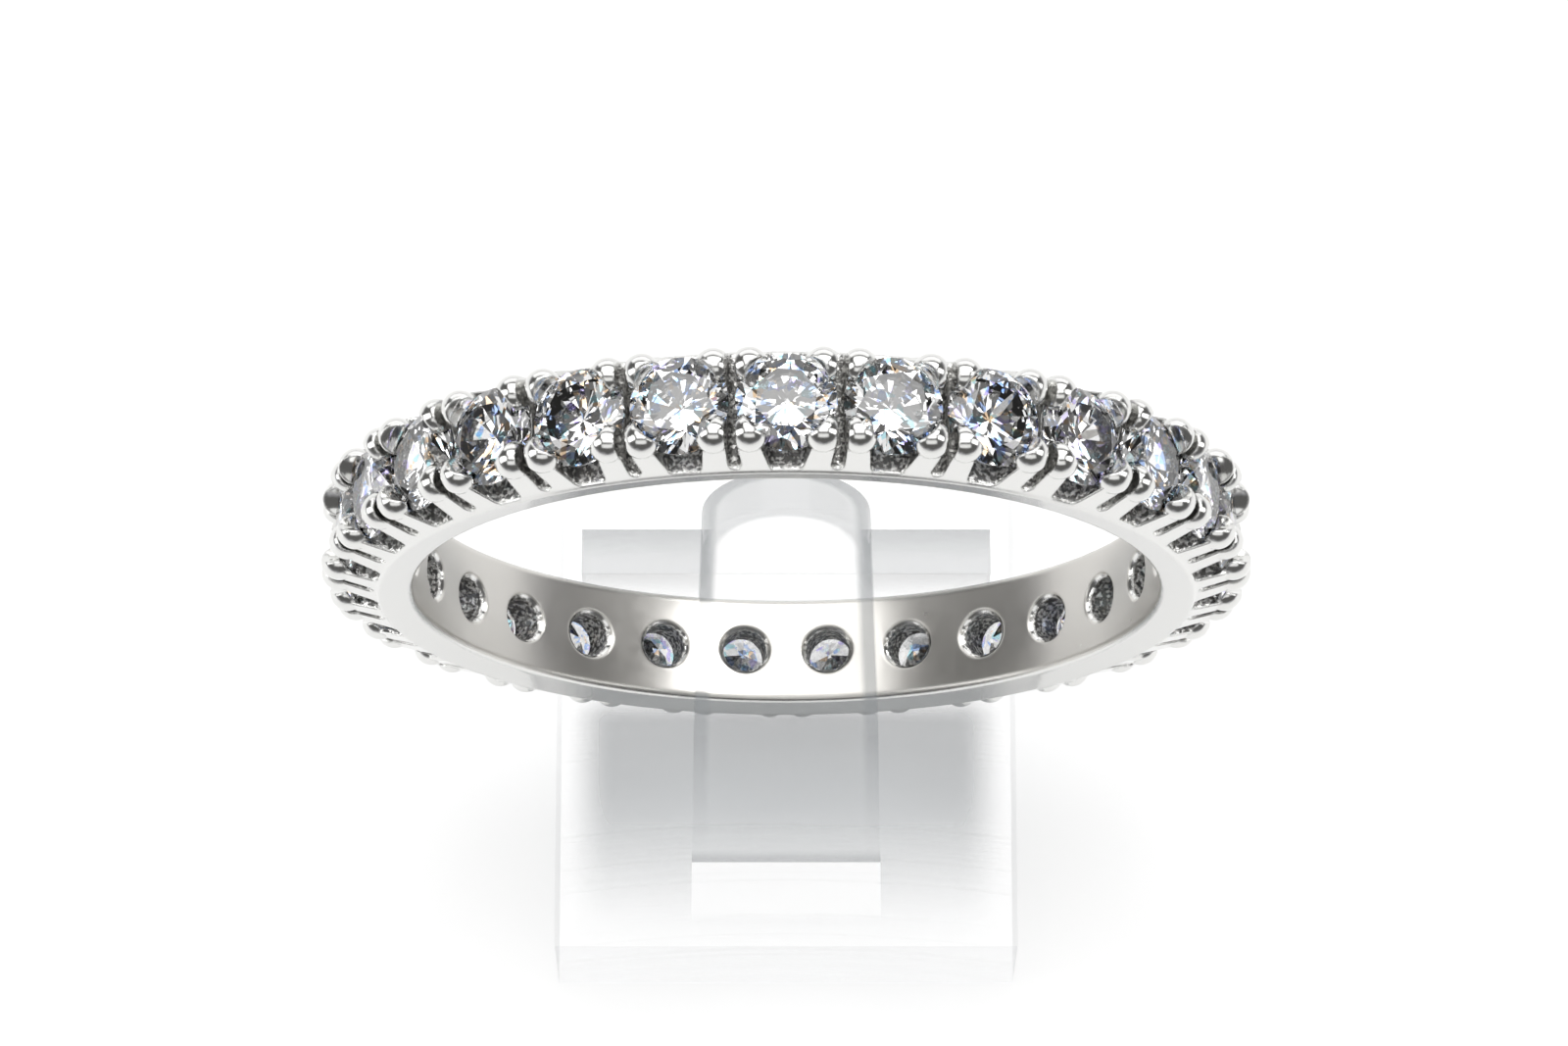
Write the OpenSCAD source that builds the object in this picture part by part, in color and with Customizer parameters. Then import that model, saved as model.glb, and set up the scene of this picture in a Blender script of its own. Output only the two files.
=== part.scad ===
// Eternity ring with a full row of round brilliants, standing upright in a clear clip.
// Units are millimetres. The finger hole runs along Y, Z is up, and the origin is the
// middle of the clip's underside.

/* [Finger hole and rail] */
// Diameter of the finger hole
bore_d = 17; // [14:0.1:21]
// Height of the plain rail between the finger hole and the windows
rail_h = 0.84; // [0.6:0.02:1.1]
// How far the rail stands out beyond the prongs on each side
rail_flare = 0.27; // [0.15:0.01:0.4]
// How far each rim of the finger hole lies inside the widest part of the rail
rim_inset = 0.1; // [0:0.01:0.2]
// Rounding of the finger hole's rims
rim_round = 0.16; // [0.06:0.01:0.25]
// Chamfer where the rail ends and the prongs begin
rail_step = 0.06; // [0.03:0.01:0.1]

/* [Stones] */
// Girdle diameter of each stone
stone_d = 2.2; // [1.8:0.05:2.8]
// Corner to corner diameter of each stone's table
table_d = 1.38; // [1:0.02:1.5]
// Slope of the kite facets above the girdle, in degrees
crown_angle = 34.5; // [30:0.5:38]
// Slope of the main facets below the girdle, in degrees
pavilion_angle = 40.8; // [38:0.2:43]
// Thickness of the girdle
girdle_h = 0.07; // [0.05:0.01:0.12]
// Least gap between the girdles of neighbouring stones
stone_spacing = 0.1; // [0.05:0.01:0.3]
// Height of the culets above the finger hole
culet_lift = 0.47; // [0.3:0.01:0.8]

/* [Setting] */
// Clearance between a stone and the metal all round it
setting_gap = 0.03; // [0.02:0.01:0.06]
// Diameter of the hole under each culet
culet_hole_d = 1.02; // [0.7:0.02:1.2]
// Countersink of those holes in the finger hole
culet_hole_chamfer = 0.1; // [0.05:0.01:0.2]
// Width of the four prongs between two windows at the rail, over the saw cut
post_w = 1.42; // [1.1:0.02:1.6]
// How much narrower each side of them is at the beads
post_taper = 0.08; // [0:0.01:0.15]
// Width of the saw cuts between the prong tips
slot_w = 0.2; // [0.15:0.01:0.4]
// Width of the saw cuts at their round floors
slot_foot_w = 0.32; // [0.2:0.01:0.4]
// Height of the saw cuts' floor above the rail
slot_lift = 0.04; // [0:0.01:0.2]
// Rounding of the windows' lower corners
window_round = 0.2; // [0.1:0.01:0.25]

/* [Beads] */
// How far the outer faces of the prongs stand outside the stones
prong_over = 0.02; // [0:0.01:0.1]
// Diameter of the bead on each prong tip
bead_d = 0.84; // [0.6:0.02:0.9]
// Distance from the saw cut to the middle of each bead
bead_from_cut = 0.29; // [0.1:0.01:0.4]
// How far the beads bulge beyond the prongs' outer faces
bead_bulge = 0.06; // [0.02:0.01:0.1]
// Height of the beads above the stones' tables
bead_rise = 0.32; // [0.2:0.01:0.4]
// How far the beads reach over a stone's edge
bead_lap = 0.14; // [0.04:0.01:0.2]
// How far the beads' inner sides slope back from the stone up to their tops
bead_slope = 0.1; // [0.06:0.01:0.22]

/* [Clip] */
// Width of the clip's foot, across the ring's plane
foot_w = 11.2; // [9:0.1:16]
// Depth of the clip's foot, along the finger hole
foot_depth = 13.4; // [12:0.1:18]
// Height of the clip's foot
foot_h = 4; // [3:0.1:8]
// Chamfer round the top of the foot
foot_chamfer = 0.3; // [0.1:0.05:0.8]
// Gap between the ring and the clip
clip_gap = 0.12; // [0.05:0.01:0.3]
// Width of the plate behind the ring
plate_w = 9.8; // [6:0.1:11]
// Thickness of the plate behind the ring
plate_t = 1.1; // [0.8:0.05:2]
// Height of the plate above the foot
plate_h = 3.6; // [2:0.1:5]
// Width of the tongue at its round tip
tongue_tip_w = 3.85; // [3:0.05:5]
// Width of the tongue where it leaves the foot
tongue_root_w = 4.7; // [4:0.05:6]
// Thickness of the tongue
tongue_t = 0.9; // [0.6:0.05:1.2]
// Height of the tongue's tip above the finger hole's floor
tongue_rise = 11; // [8:0.1:12]
// Backward lean of the tongue inside the finger hole, in degrees
tongue_lean = 12; // [5:0.5:14]
// Forward lean of the tongue below the ring, in degrees
root_lean = 56; // [45:1:62]

/* [Hidden] */
bore_r = bore_d / 2;
stone_r = stone_d / 2;
table_corner_r = table_d / 2;
bead_r = bead_d / 2;

// Heights measured outwards from the ring's centre
culet_at = bore_r + culet_lift;
girdle_low = culet_at + stone_r * tan(pavilion_angle);
girdle_high = girdle_low + girdle_h;
table_at = girdle_high + (stone_r - table_corner_r) * tan(crown_angle);
tip_at = table_at + bead_rise;
bead_at = tip_at - bead_r;
rail_at = bore_r + rail_h;
slot_floor = rail_at + slot_lift;
valley_at = girdle_high + girdle_h;
clear_of_tips = tip_at + bead_r;

// Chamfer of the prongs' shoulders, inside the beads
shoulder = 0.12;
shoulder_at = bead_at + shoulder / 2;
// Depth of the prongs' roots in the rail
root_depth = 0.15;
// Height of the prongs' front view above their section, so that only one of the two ends them
end_trim = 0.03;
// Depth of the windows' rounded corners in the rail, so that the two cross at an angle
corner_sink = 0.02;
// How far the cuts under the stones run out into the finger hole
hole_run_out = 0.4;

// Distances from the ring's middle plane
prong_y = stone_r + prong_over;
rail_y = prong_y + rail_flare;
rim_y = rail_y - rim_inset;
bead_y = prong_y + bead_bulge - bead_r;
bead_x = slot_w / 2 + bead_from_cut;

// One stone every pitch degrees, as many as fit with their spacing
stone_count = floor(180 / asin((stone_d + stone_spacing) / (girdle_low + girdle_high)));
pitch = 360 / stone_count;

// Facet corners of a brilliant: eight kites meet the table, with eight stars between them
facets = 8;
step = 360 / facets;
star_share = 0.5;
lower_half_share = 0.76;
flat_share = cos(step / 2);
star_r = table_corner_r * flat_share + star_share * (stone_r - table_corner_r * flat_share);
star_h = (stone_r - star_r * flat_share) * tan(crown_angle);
pavilion_r = stone_r * (1 - lower_half_share);
pavilion_depth = (stone_r - pavilion_r * flat_share) * tan(pavilion_angle);
upper_slope = star_h / (stone_r - star_r);
lower_slope = pavilion_depth / (stone_r - pavilion_r);
girdle_sag = stone_r * (1 - cos(step / 4)) / cos(step / 4);
girdle_dip = girdle_sag * upper_slope;
girdle_drop = girdle_sag * lower_slope;

// Each stone is turned about its own axis by a different amount
stone_turn = 17;

// Clip, measured from the floor
ring_at = foot_h + clip_gap + tip_at;
bore_floor = ring_at - bore_r;
bend_y = -(rim_y + clip_gap);

function stone_name(i) = str("stone_", i < 10 ? "0" : "", i);

function polar(r, a, z) = [r * cos(a), r * sin(a), z];

function arc(x, y, r, from, to, steps) =
    [for (k = [0 : steps]) let (a = from + (to - from) * k / steps) [x + r * cos(a), y + r * sin(a)]];

// Surface of the seat below and above a stone's girdle, one setting gap off the facets
function seat_below(s) =
    girdle_low - (stone_r - s) * lower_slope - setting_gap * norm([1, lower_slope]);
function seat_above(s) =
    girdle_high + (stone_r - s) * upper_slope + setting_gap * norm([1, upper_slope]);

module upright() translate([0, 0, ring_at]) children();

module at_angle(a) rotate([0, a, 0]) children();

module along_bore() rotate([90, 0, 0]) children();

// Half outline of the rail, from the middle of the finger hole to its outer surface
rail_side = concat(
    arc(bore_r + rim_round, rim_y - rim_round, rim_round, 180, 90, 4),
    [[rail_at - rail_step, rail_y], [rail_at, rail_y - rail_step]]
);

function mirrored(side) = concat(side, [for (k = [len(side) - 1 : -1 : 0]) [side[k][0], -side[k][1]]]);

module rail() along_bore() rotate_extrude($fn = 180) polygon(mirrored(rail_side));

// Section of the prongs, looking along the rail: tapered walls up into the beads
module prong_section() {
    root_at = rail_at - root_depth;
    inner_y = bead_y - bead_r / 2;
    foot_y = rail_y - rail_step;
    side = [
        [foot_y, root_at], [foot_y, rail_at], [prong_y, bead_at - shoulder],
        [bead_y + shoulder, shoulder_at], [inner_y, shoulder_at], [inner_y, valley_at]
    ];
    polygon(concat(side, [for (k = [len(side) - 1 : -1 : 0]) [-side[k][0], side[k][1]]]));
}

// Front view of four prongs, from a window's rounded corner over the shoulders
module prong_front() {
    half = post_w / 2;
    shoulder_x = half - post_taper;
    corner_x = half + window_round;
    corner_at = sqrt(pow(rail_at + window_round - corner_sink, 2) - pow(corner_x, 2));
    to_centre = 180 + atan2(corner_at, corner_x);
    side = concat(
        [[corner_x + window_round * cos(to_centre), rail_at - root_depth]],
        arc(corner_x, corner_at, window_round, to_centre, 180, 4),
        [[shoulder_x, bead_at - shoulder], [shoulder_x - shoulder, shoulder_at + end_trim]]
    );
    polygon(concat(side, [for (k = [len(side) - 1 : -1 : 0]) [-side[k][0], side[k][1]]]));
}

// Saw cut with a round floor, from front to back through a group of prongs
module saw_cut() {
    foot_cut = slot_foot_w / 2;
    side = concat([[slot_w / 2, clear_of_tips]], arc(0, slot_floor + foot_cut, foot_cut, 0, -90, 3));
    rotate([90, 0, 0]) linear_extrude(4 * rail_y, center = true)
        polygon(concat(side, [for (k = [len(side) - 2 : -1 : 0]) [-side[k][0], side[k][1]]]));
}

// Four prongs with their beads, between two windows
module post() difference() {
    union() {
        intersection() {
            rotate([90, 0, 90]) linear_extrude(2 * post_w, center = true) prong_section();
            rotate([90, 0, 0]) linear_extrude(4 * rail_y, center = true) prong_front();
        }
        for (x = [bead_x, -bead_x], y = [bead_y, -bead_y])
            translate([x, y, bead_at]) sphere(bead_r, $fn = 48);
    }
    saw_cut();
}

// Everything that is cut away for one stone: its hole, its seat and the way in from above
module seat() {
    hole_r = culet_hole_d / 2;
    lap_r = stone_r - bead_lap;
    rotate_extrude($fn = 96) polygon([
        [0, bore_r - hole_run_out],
        [hole_r + culet_hole_chamfer + hole_run_out, bore_r - hole_run_out],
        [hole_r, bore_r + culet_hole_chamfer],
        [hole_r, seat_below(hole_r)],
        [stone_r + setting_gap, seat_below(stone_r + setting_gap)],
        [stone_r + setting_gap, seat_above(stone_r + setting_gap)],
        [lap_r, seat_above(lap_r)],
        [lap_r, bead_at],
        [lap_r + 0.4 * bead_slope, bead_at + 0.6 * bead_r],
        [lap_r + bead_slope, tip_at],
        [lap_r + bead_slope, clear_of_tips],
        [0, clear_of_tips]
    ]);
}

// Every third seat, so that no two of them meet
module seats(first) for (i = [first : 3 : stone_count - 1]) at_angle(i * pitch) seat();

module band() color([0.82, 0.82, 0.83]) upright() difference() {
    difference() {
        difference() {
            union() {
                rail();
                for (i = [0 : stone_count - 1]) at_angle((i + 0.5) * pitch) post();
            }
            seats(0);
        }
        seats(1);
    }
    seats(2);
}

// Round brilliant with its axis on Z, at its own height above the ring's centre
module brilliant() {
    table = [for (k = [0 : facets - 1]) polar(table_corner_r, k * step, table_at)];
    stars = [for (k = [0 : facets - 1]) polar(star_r, (k + 0.5) * step, girdle_high + star_h)];
    upper = [for (k = [0 : 4 * facets - 1])
        polar(stone_r, k * step / 4, girdle_high - (k % 2) * girdle_dip)];
    lower = [for (k = [0 : 4 * facets - 1])
        polar(stone_r, k * step / 4, girdle_low + (k % 2) * girdle_drop)];
    halves = [for (k = [0 : facets - 1])
        polar(pavilion_r, (k + 0.5) * step, girdle_low - pavilion_depth)];
    culet = [[0, 0, culet_at]];
    t = 0;
    s = t + facets;
    u = s + facets;
    l = u + 4 * facets;
    h = l + 4 * facets;
    c = h + facets;
    rim = 4 * facets;
    polyhedron(
        points = concat(table, stars, upper, lower, halves, culet),
        faces = concat(
            [[for (k = [facets - 1 : -1 : 0]) t + k]],
            [for (k = [0 : facets - 1]) [t + k, t + (k + 1) % facets, s + k]],
            [for (k = [0 : facets - 1]) [t + k, s + k, u + 4 * k, s + (k + facets - 1) % facets]],
            [for (k = [0 : facets - 1]) [s + k, u + 4 * k + 2, u + 4 * k + 1, u + 4 * k]],
            [for (k = [0 : facets - 1])
                [s + k, u + (4 * k + 4) % rim, u + 4 * k + 3, u + 4 * k + 2]],
            [for (k = [0 : rim - 1]) [u + k, u + (k + 1) % rim, l + (k + 1) % rim, l + k]],
            [for (k = [0 : facets - 1]) [h + k, l + 4 * k, l + 4 * k + 1, l + 4 * k + 2]],
            [for (k = [0 : facets - 1])
                [h + k, l + 4 * k + 2, l + 4 * k + 3, l + (4 * k + 4) % rim]],
            [for (k = [0 : facets - 1]) [c, h + (k + facets - 1) % facets, l + 4 * k, h + k]]
        )
    );
}

module stone(i) color([0.88, 0.92, 0.98]) upright()
    at_angle((i - 1) * pitch) rotate([0, 0, i * stone_turn]) brilliant();

// Outline of the foot from one side
module foot_view(w) polygon([
    [-w / 2, 0], [w / 2, 0], [w / 2, foot_h - foot_chamfer], [w / 2 - foot_chamfer, foot_h],
    [foot_chamfer - w / 2, foot_h], [-w / 2, foot_h - foot_chamfer]
]);

// Foot block, chamfered round its top
module foot() intersection() {
    rotate([90, 0, 0]) linear_extrude(2 * foot_depth, center = true) foot_view(foot_w);
    rotate([90, 0, 90]) linear_extrude(2 * foot_w, center = true) foot_view(foot_depth);
}

module back_plate()
    translate([-plate_w / 2, rail_y + clip_gap, foot_h / 2]) cube([plate_w, plate_t, foot_h / 2 + plate_h]);

// Side view of the tongue: its rear face turns about the bend in front of the finger hole's rim
module tongue_side() {
    tip_z = bore_floor + tongue_rise;
    tip_y = bend_y + tongue_rise * tan(tongue_lean);
    root_z = foot_h / 2;
    root_y = bend_y - (bore_floor - root_z) * tan(root_lean);
    upper_across = tongue_t / cos(tongue_lean);
    lower_across = tongue_t / cos(root_lean);
    front_z = bore_floor + (lower_across - upper_across) / (tan(root_lean) + tan(tongue_lean));
    front_y = bend_y + (front_z - bore_floor) * tan(tongue_lean) - upper_across;
    polygon([
        [bend_y, bore_floor],
        [tip_y, tip_z],
        [tip_y - upper_across, tip_z],
        [front_y, front_z],
        [root_y - lower_across, root_z],
        [root_y, root_z]
    ]);
}

// Front view of the tongue, widening from its round tip down to the foot
module tongue_front() {
    tip_r = tongue_tip_w / 2;
    tip_z = bore_floor + tongue_rise - tip_r;
    translate([0, tip_z]) circle(tip_r, $fn = 96);
    polygon([
        [tip_r, tip_z], [-tip_r, tip_z], [-tongue_root_w / 2, foot_h / 2], [tongue_root_w / 2, foot_h / 2]
    ]);
}

module tongue() intersection() {
    rotate([90, 0, 90]) linear_extrude(2 * tongue_root_w, center = true) tongue_side();
    rotate([90, 0, 0]) linear_extrude(2 * foot_depth, center = true) tongue_front();
    translate([-foot_w / 2, -foot_depth / 2, 0]) cube([foot_w, foot_depth, ring_at + tip_at]);
}

module clip_stand() color([0.9, 0.94, 0.97, 0.5]) union() {
    foot();
    back_plate();
    tongue();
}

band();
clip_stand();
for (i = [1 : stone_count])
    stone(i);
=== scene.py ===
# %% [markdown]
# # An eternity ring on its clear clip
#
# The ring is white gold with one row of round brilliants all the way round, and it stands upright in a
# clear plastic clip on a white table. All solids come ready made from the CAD model, so this lesson is about
# light and finish: how to make polished metal, rough cast metal, cut stones and clear plastic look real.
#
# Everything is in metres, with Z up. The finger hole runs along Y.

# %% Load the solids
import math

import bpy
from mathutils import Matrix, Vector


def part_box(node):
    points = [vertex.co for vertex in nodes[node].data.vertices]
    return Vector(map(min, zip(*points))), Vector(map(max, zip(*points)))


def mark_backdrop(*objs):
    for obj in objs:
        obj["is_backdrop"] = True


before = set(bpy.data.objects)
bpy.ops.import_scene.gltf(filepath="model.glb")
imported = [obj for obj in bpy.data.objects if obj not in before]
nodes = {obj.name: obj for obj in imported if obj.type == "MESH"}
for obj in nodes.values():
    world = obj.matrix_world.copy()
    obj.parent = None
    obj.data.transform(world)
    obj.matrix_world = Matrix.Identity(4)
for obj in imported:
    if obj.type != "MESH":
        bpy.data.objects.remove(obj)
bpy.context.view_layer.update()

MM = 0.001
stones = [nodes[name] for name in sorted(nodes) if name.startswith("stone_")]
print("solids:", len(nodes), "of which stones:", len(stones))

# %% [markdown]
# ## Where the ring's centre is
#
# Most finishes here depend on the distance from the finger hole's axis: the finger hole is satin, the walls
# under the stones are rough, the prong tips are polished. The stones stand evenly round the finger, so the
# mean of their middles is the centre. That is safer than typing a number that the CAD model may change.

# %% Find the centre of the ring
def middle(name):
    low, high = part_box(name)
    return (low + high) / 2


centre = sum((middle(stone.name) for stone in stones), Vector()) / len(stones)
centre.x = centre.y = 0
print("ring centre at", round(centre.z / MM, 3), "mm")

# %% [markdown]
# ## Camera
#
# The photo is taken with a long lens from steeply above: the ring looks like a flat oval although it stands
# upright. A long lens far away keeps the near and the far side of the ring almost the same size. The camera
# aims a little above the ring's centre, so that the ring sits slightly low in the frame.

# %% Place the camera
ELEVATION = math.radians(72.14)
DISTANCE = 150.4 * MM
LENS = 151.0
SENSOR_WIDTH = 36
AIM_LEFT = 0.05 * MM
AIM_UP = 0.46 * MM
NEAREST_SEEN = 5 * MM
FARTHEST_SEEN = 10

forward = Vector((0, math.cos(ELEVATION), -math.sin(ELEVATION)))
camera_up = Vector((0, math.sin(ELEVATION), math.cos(ELEVATION)))
camera_data = bpy.data.cameras.new("camera")
camera_data.lens = LENS
camera_data.sensor_width = SENSOR_WIDTH
camera_data.clip_start = NEAREST_SEEN
camera_data.clip_end = FARTHEST_SEEN
camera = bpy.data.objects.new("camera", camera_data)
camera.location = centre - DISTANCE * forward + AIM_UP * camera_up - Vector((AIM_LEFT, 0, 0))
camera.rotation_euler = forward.to_track_quat("-Z", "Y").to_euler()
bpy.context.collection.objects.link(camera)
bpy.context.scene.camera = camera
print("camera at", [round(v / MM, 1) for v in camera.location], "mm")

# %% [markdown]
# ## A small helper for shader nodes
#
# Shader maths soon becomes a tangle of nodes. Here one small class wraps a node's output, so that an
# expression such as `1 - mask * 0.5` adds the Math nodes by itself. All other nodes come from its `node`
# method, which takes the node's type, its settings, and the values or links of its sockets.

# %% Wrap sockets
class Socket:
    """One output in a node tree. Arithmetic adds Math nodes, and node() adds any other node."""

    def __init__(self, tree, output=None):
        self.tree = tree
        self.output = output

    def node(self, kind, settings=None, inputs=None, output=0):
        made = self.tree.nodes.new("ShaderNode" + kind)
        for name, value in (settings or {}).items():
            if name == "stops":
                self.set_stops(made.color_ramp, value)
            elif name == "steps":
                made.color_ramp.interpolation = "CONSTANT"
            else:
                setattr(made, name, value)
        for name, value in (inputs or {}).items():
            if isinstance(value, Socket):
                self.tree.links.new(value.output, made.inputs[name])
            else:
                made.inputs[name].default_value = value
        return Socket(self.tree, made.outputs[output] if made.outputs else None)

    @staticmethod
    def set_stops(ramp, stops):
        while len(ramp.elements) < len(stops):
            ramp.elements.new(1)
        for element, (place, colour) in zip(ramp.elements, stops):
            element.position = place
            element.color = (*colour, 1)

    def math(self, operation, *others):
        values = dict(enumerate((self, *others)))
        return self.node("Math", {"operation": operation}, values)

    def __add__(self, other):
        return self.math("ADD", other)

    __radd__ = __add__

    def __sub__(self, other):
        return self.math("SUBTRACT", other)

    def __rsub__(self, other):
        return self.node("Math", {"operation": "SUBTRACT"}, {0: other, 1: self})

    def __mul__(self, other):
        return self.math("MULTIPLY", other)

    __rmul__ = __mul__

    def between(self, low, high):
        """0 below low and 1 above high, with a smooth step between them."""
        inputs = {"Value": self, "From Min": low, "From Max": high}
        return self.node("MapRange", {"interpolation_type": "SMOOTHSTEP"}, inputs)

    def mix(self, first, second):
        """The first colour where this is 0, the second where it is 1."""
        settings = {"data_type": "RGBA"}
        return self.node("Mix", settings, {0: self, 6: first, 7: second}, output=2)

    def axis(self, name):
        """One coordinate of a vector: X, Y or Z."""
        return self.node("SeparateXYZ", inputs={"Vector": self}, output=name)


print("Socket knows", len([name for name in vars(Socket) if not name.startswith("__")]), "methods")

# %% [markdown]
# Three more helpers are needed again and again: an empty material, the point that is being shaded, and
# noise. The point is given in millimetres on the piece itself, so the CAD model's sizes can be typed as
# they are, and the pattern stays on the piece when it is moved.

# %% Materials, points and noise
def new_material(name):
    material = bpy.data.materials.new(name)
    material.use_nodes = True
    material.node_tree.nodes.clear()
    return material, Socket(material.node_tree)


def place_in_mm(start):
    """The point on the piece, in millimetres."""
    point = start.node("TexCoord", output="Object")
    return point.node("VectorMath", {"operation": "SCALE"}, {0: point, "Scale": 1 / MM})


def noise(point, scale, detail=2.0):
    inputs = {"Vector": point, "Scale": scale, "Detail": detail}
    return point.node("TexNoise", inputs=inputs)


print("shader helpers ready")

# %% [markdown]
# ## White gold
#
# A cast ring is polished wherever a wheel can reach: the rail, the outer sides of the prongs and their
# rounded tips. Under the stones and at the foot of the saw cuts no wheel gets in, so the metal there keeps
# the speckled skin of the casting, and the finger hole is only brushed. One material shows all three, with
# masks worked out from two measures: the distance from the finger hole's axis, and how deep a point lies
# behind the outer side of the prongs.
#
# Real edges are never sharp. The solids have sharp ones, so a Bevel node rounds the shading there.

# %% Masks of the white gold, with the CAD model's sizes in millimetres
BORE_RADIUS = 8.5
RAIL_TOP = 9.34
SIDES_END = 10.05
RAIL_HALF_WIDTH = 1.33
PRONG_HALF_WIDTH = 1.12
POLISHED_FROM = 9.9


def ring_measures(point):
    """Distance from the finger hole's axis, and from the ring's middle plane, in millimetres."""
    x = point.axis("X")
    up = point.axis("Z") - centre.z / MM
    radius = (x * x + up * up).math("SQRT")
    return radius, point.axis("Y").math("ABSOLUTE")


def depth_behind_side(radius, side):
    """How far a point lies inside the sloping outer sides of the prongs and the rail."""
    inputs = {
        "Value": radius, "From Min": RAIL_TOP, "From Max": SIDES_END,
        "To Min": RAIL_HALF_WIDTH, "To Max": PRONG_HALF_WIDTH,
    }
    return radius.node("MapRange", inputs=inputs) - side


print("the prongs' sides slope in by", round(RAIL_HALF_WIDTH - PRONG_HALF_WIDTH, 2), "mm")

# %% Make the white gold
POLISHED_METAL = (0.75, 0.75, 0.735, 1)
BRUSHED_METAL = (0.66, 0.645, 0.615, 1)
SKIN_HOLLOWS = (0.20, 0.197, 0.19, 1)
SKIN_GRAINS = (0.92, 0.91, 0.89, 1)
CAST_ROUGHNESS = 0.42
EDGE_ROUNDING = 0.09 * MM
GRAIN_HEIGHT = 0.03 * MM


def white_gold():
    material, start = new_material("white_gold")
    point = place_in_mm(start)
    radius, side = ring_measures(point)
    depth = depth_behind_side(radius, side)
    above_bore = radius.between(BORE_RADIUS + 0.06, BORE_RADIUS + 0.14)
    below_beads = 1 - radius.between(POLISHED_FROM - 0.3, POLISHED_FROM)
    cast = depth.between(0.04, 0.14) * above_bore * below_beads
    bore = 1 - radius.between(BORE_RADIUS + 0.02, BORE_RADIUS + 0.05)

    grain = noise(point, 11, 3).between(0.44, 0.62)
    scratches = noise(point, 3.5)
    metal = bore.mix(POLISHED_METAL, BRUSHED_METAL)
    colour = cast.mix(metal, grain.mix(SKIN_HOLLOWS, SKIN_GRAINS))
    polish = 0.06 + 0.06 * scratches + 0.2 * bore
    roughness = polish + cast * (CAST_ROUGHNESS - polish)

    soft_edge = start.node("Bevel", {"samples": 6}, {"Radius": EDGE_ROUNDING})
    bump = start.node("Bump", inputs={
        "Strength": 0.8, "Distance": GRAIN_HEIGHT, "Height": grain * cast, "Normal": soft_edge,
    })
    shader = start.node("BsdfPrincipled", inputs={
        "Base Color": colour, "Metallic": 1.0, "Roughness": roughness, "Normal": bump,
    })
    start.node("OutputMaterial", inputs={"Surface": shader})
    return material


gold = white_gold()
print("made", gold.name)

# %% [markdown]
# ## The brilliants
#
# A cut stone needs no painted sparkle: light that enters through the table is thrown back by the lower
# facets, so real refraction in the real facets gives the pattern. What Blender's glass leaves out is the
# splitting of light into colours, which jewellers call fire. It is put in as a tint: the stone's surface is
# divided into small cells, each cell gets one of a few colours at random, and most cells get none.

# %% Make the stones' material
CLEAR = (1, 1, 1)
FIRE = [
    (0.0, CLEAR), (0.34, (0.22, 0.40, 1.0)), (0.39, CLEAR), (0.46, (1.0, 0.55, 0.25)), (0.49, CLEAR),
    (0.60, (0.35, 0.85, 1.0)), (0.63, CLEAR), (0.70, (0.45, 0.36, 1.0)), (0.73, CLEAR),
]
CELLS_PER_MM = 5.5
STONE_IOR = 2.2


def brilliant():
    material, start = new_material("brilliant")
    point = place_in_mm(start)
    pick = point.node("TexVoronoi", inputs={"Vector": point, "Scale": CELLS_PER_MM}, output="Color")
    # Painted fire: coloured cells in the stone's colour stand in for light split into colours.
    painted_fire = pick.node("ValToRGB", {"stops": FIRE, "steps": True}, {"Fac": pick})
    shader = start.node("BsdfPrincipled", inputs={
        "Base Color": painted_fire, "Roughness": 0.0, "IOR": STONE_IOR, "Transmission Weight": 1.0,
    })
    start.node("OutputMaterial", inputs={"Surface": shader})
    return material


gem = brilliant()
print("made", gem.name)

# %% [markdown]
# ## The clear clip
#
# The clip is moulded acrylic. Plastic as clear as this is seen only by a few things: the rims of the tongue
# and the walls of the foot look darker than the faces, slanting faces shine, and the ring's shade lies as a
# soft grey band in the thick foot in front of it. True bending of light would make it a dark lens on a white
# table, so this material lets light straight through and lays the darker rims, walls and band on as painted
# shade in grey. Alpha is how much of that grey is put over what lies behind.
#
# The band of grey is kept near the top of the foot. The foot's underside lies on the table, and any grey
# there would break up into stripes, because two surfaces in one place hide each other by chance.

# %% Where the plastic shows, with the CAD model's sizes in millimetres
FOOT_TOP = 4.0
TIP_RADIUS = 1.925
TONGUE_WIDENING = 0.032


def painted_rim_shade(point, tip):
    """Painted rim shade: 1 near the outline of the tongue, as seen from the front, and 0 away from it."""
    x = point.axis("X")
    z = point.axis("Z")
    above = (z - (tip - TIP_RADIUS)).math("MAXIMUM", 0)
    below = (tip - TIP_RADIUS - z).math("MAXIMUM", 0)
    across = (x * x + above * above).math("SQRT")
    inside = TIP_RADIUS + TONGUE_WIDENING * below - across
    return (1 - inside.between(0.22, 0.42)) * z.between(FOOT_TOP + 0.6, FOOT_TOP + 4)


def painted_ring_shade(point):
    """Painted shade of the ring: a soft grey band in front of the ring, near the top of the foot."""
    y = point.axis("Y")
    front = y.between(-7.0, -2.5) * (1 - y.between(-1.2, -0.2))
    sides = 1 - point.axis("X").math("ABSOLUTE").between(4.2, 5.5)
    return front * sides * point.axis("Z").between(FOOT_TOP - 1, FOOT_TOP - 0.4)


def upright_face(start):
    """1 on upright faces and 0 on level ones; it lays painted shade on the foot's walls."""
    steep = start.node("TexCoord", output="Normal").axis("Z").math("ABSOLUTE")
    return 1 - steep.between(0.2, 0.8)


print("the tongue's tip is", 2 * TIP_RADIUS, "mm wide")

# %% Make the clear plastic
# Painted shade: grey laid over the clear plastic on the tongue's rim, the foot's walls and in front of the
# ring.
SHADE_GREY = (0.30, 0.33, 0.35, 1)
PALER_SHADE_GREY = (0.36, 0.39, 0.41, 1)


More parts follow.
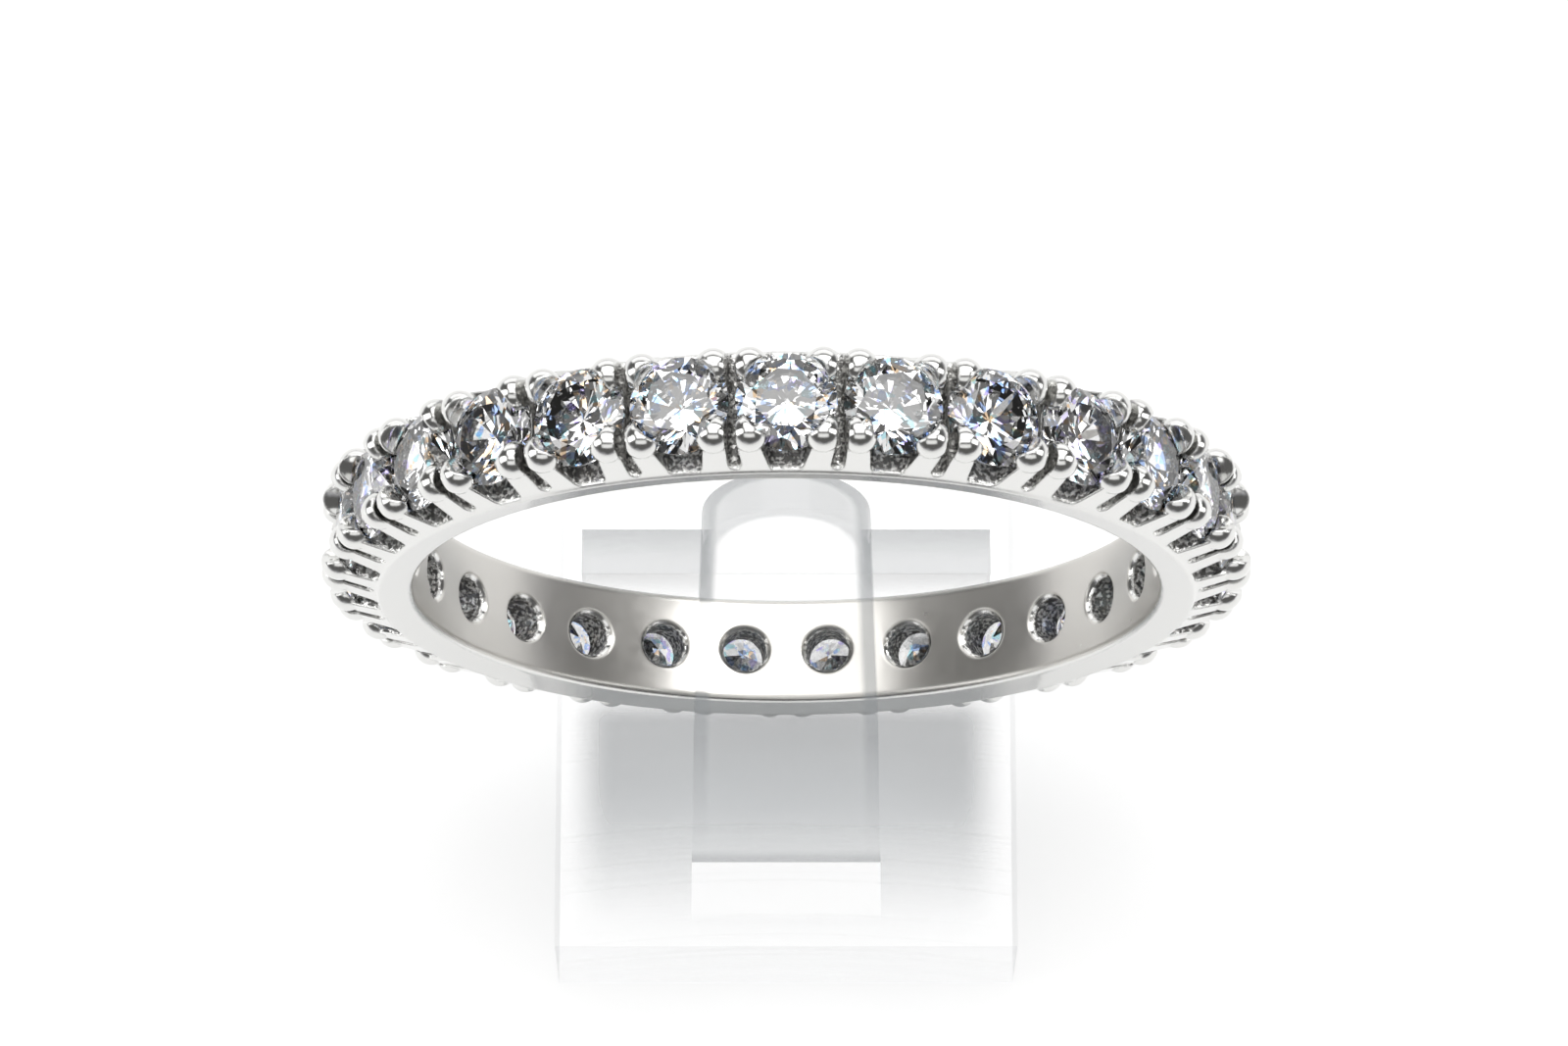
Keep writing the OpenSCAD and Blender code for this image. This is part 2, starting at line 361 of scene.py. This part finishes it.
def clear_plastic():
    material, start = new_material("clear_plastic")
    point = place_in_mm(start)
    rub = noise(point, 0.3)
    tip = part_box("clip_stand")[1].z / MM
    slanting = start.node("LayerWeight", inputs={"Blend": 0.5}, output="Facing")
    foot = 1 - point.axis("Z").between(FOOT_TOP + 0.02, FOOT_TOP + 0.2)
    upper = 1 - foot
    shine = 0.035 * slanting * slanting * upper
    # Painted shade: grey on the foot's upright walls, and a soft band of the ring's shade in front of it.
    grey = 0.1 * upright_face(start) * foot + 0.58 * painted_ring_shade(point) * foot
    shader = start.node("BsdfPrincipled", inputs={
        "Base Color": rub.mix(SHADE_GREY, PALER_SHADE_GREY),
        "Roughness": 0.03 + 0.06 * rub + 0.4 * foot,
        "Specular IOR Level": 0.25,
        "Coat Weight": 0.5 * upper,
        # Painted shade along the tongue's rim is laid on through the alpha here.
        "Alpha": 0.01 + shine + grey + 0.36 * painted_rim_shade(point, tip),
    })
    start.node("OutputMaterial", inputs={"Surface": shader})
    return material


plastic = clear_plastic()
print("made", plastic.name)

# %% [markdown]
# ## Dress the solids
#
# The ring's curved faces come as small flat ones, so they are shaded smooth, and only edges sharper than
# 30 degrees stay edges. The stones are the other way round: each facet has to stay flat.

# %% Give each solid its finish
SHARPEST = math.radians(30)


def finish(solid, material, smooth):
    solid.data.materials.clear()
    solid.data.materials.append(material)
    solid.data.polygons.foreach_set("use_smooth", [smooth] * len(solid.data.polygons))
    if smooth:
        solid.data.set_sharp_from_angle(angle=SHARPEST)


finish(nodes["band"], gold, True)
finish(nodes["clip_stand"], plastic, True)
for stone in stones:
    finish(stone, gem, False)
print("dressed", len(nodes), "solids")

# %% [markdown]
# ## Table
#
# The photo shows nothing but white round the ring, so the table is one pale sheet. It also lights the ring
# from below: the outer sides of the prongs mirror it, which is why they are so bright.

# %% Make the table
TABLE_HALF_WIDTH = 3.0
TABLE_GLOW = 0.3
TABLE_WHITE = (0.93, 0.93, 0.93, 1)
TABLE_WHITER = (0.95, 0.95, 0.95, 1)


def pale_table():
    corners = [(-1, -1, 0), (1, -1, 0), (1, 1, 0), (-1, 1, 0)]
    mesh = bpy.data.meshes.new("table")
    mesh.from_pydata([Vector(c) * TABLE_HALF_WIDTH for c in corners], [], [(0, 1, 2, 3)])
    table = bpy.data.objects.new("table", mesh)
    bpy.context.collection.objects.link(table)
    material, start = new_material("pale_table")
    speckle = noise(place_in_mm(start), 0.05)
    shader = start.node("BsdfPrincipled", inputs={
        "Base Color": speckle.mix(TABLE_WHITE, TABLE_WHITER), "Roughness": 0.6,
        "Emission Color": (1, 1, 1, 1), "Emission Strength": TABLE_GLOW,
    })
    start.node("OutputMaterial", inputs={"Surface": shader})
    mesh.materials.append(material)
    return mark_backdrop(table)


pale_table()
print("table is", 2 * TABLE_HALF_WIDTH, "m wide")

# %% [markdown]
# ## Light
#
# Polished metal and cut stones show nothing but what is round them, so the room matters more than the
# lamps. The sky here is a soft studio room: pale near the table and dark above. Four white softboxes stand
# round the ring with dark gaps between them. The gaps give the stones their contrast. The camera itself
# sees a plain white room.
#
# Metal wants the opposite: a rounded bead mirrors nearly the whole room, so every gap is a black stripe on
# it. Light linking solves that. Two more softboxes fill gaps, a narrow strip draws the bright streak in the
# finger hole, and only the band can see these three.

# %% Make the room
ROOM = [
    (0.0, (0.42, 0.42, 0.43)), (0.10, (0.25, 0.25, 0.26)), (0.22, (0.105, 0.104, 0.102)),
    (0.70, (0.11, 0.109, 0.107)), (1.0, (0.16, 0.158, 0.155)),
]
SEEN_BY_CAMERA = (0.96, 0.96, 0.96, 1)
UNEVENNESS = 0.35


def studio_room():
    world = bpy.data.worlds.new("studio_room")
    world.use_nodes = True
    world.node_tree.nodes.clear()
    bpy.context.scene.world = world
    start = Socket(world.node_tree)
    direction = start.node("TexCoord", output="Generated")
    wobble = noise(direction, 2.0, 1.0)
    height = direction.axis("Z") + UNEVENNESS * (wobble - 0.5)
    light = height.node("ValToRGB", {"stops": ROOM}, {"Fac": height})
    seen = start.node("LightPath", output="Is Camera Ray")
    background = start.node("Background", inputs={"Color": seen.mix(light, SEEN_BY_CAMERA)})
    start.node("OutputWorld", inputs={"Surface": background})


studio_room()
print("room ready")

# %% Add the softboxes
SOFTBOXES = [
    # name, place in mm, width in mm, height in mm, brightness
    ("softbox_back", (0, 200, 400), 520, 280, 1.8),
    ("softbox_front", (0, -250, 375), 520, 170, 0.75),
    ("softbox_left", (-360, -40, 230), 170, 340, 2.6),
    ("softbox_right", (360, -20, 250), 150, 320, 2.4),
]
METAL_SOFTBOXES = [
    ("softbox_top", (0, -20, 445), 420, 130, 1.5),
    ("softbox_strip", (205, 190, 380), 40, 260, 9.0),
    ("backdrop", (0, 420, 150), 800, 240, 1.0),
]


def softbox(name, place, width, height, brightness):
    light = bpy.data.lights.new(name, "AREA")
    light.shape = "RECTANGLE"
    light.size = width * MM
    light.size_y = height * MM
    light.energy = brightness * math.pi * light.size * light.size_y
    lamp = bpy.data.objects.new(name, light)
    lamp.location = Vector(place) * MM
    lamp.rotation_euler = (centre - lamp.location).to_track_quat("-Z", "Y").to_euler()
    bpy.context.collection.objects.link(lamp)
    return lamp


for values in SOFTBOXES:
    softbox(*values)
only_metal = bpy.data.collections.new("only_metal")
only_metal.objects.link(nodes["band"])
for values in METAL_SOFTBOXES:
    softbox(*values).light_linking.receiver_collection = only_metal
print("softboxes:", len(SOFTBOXES) + len(METAL_SOFTBOXES))

# %% [markdown] ## Colour and the last step  The photo is bright, and its whites are plain white, so the
# plain Standard view is used in place of the softer film-like one.

# %% Set the view and finish
EXPOSURE = 0.25

scene = bpy.context.scene
scene.view_settings.view_transform = "Standard"
scene.view_settings.exposure = EXPOSURE
print("done")
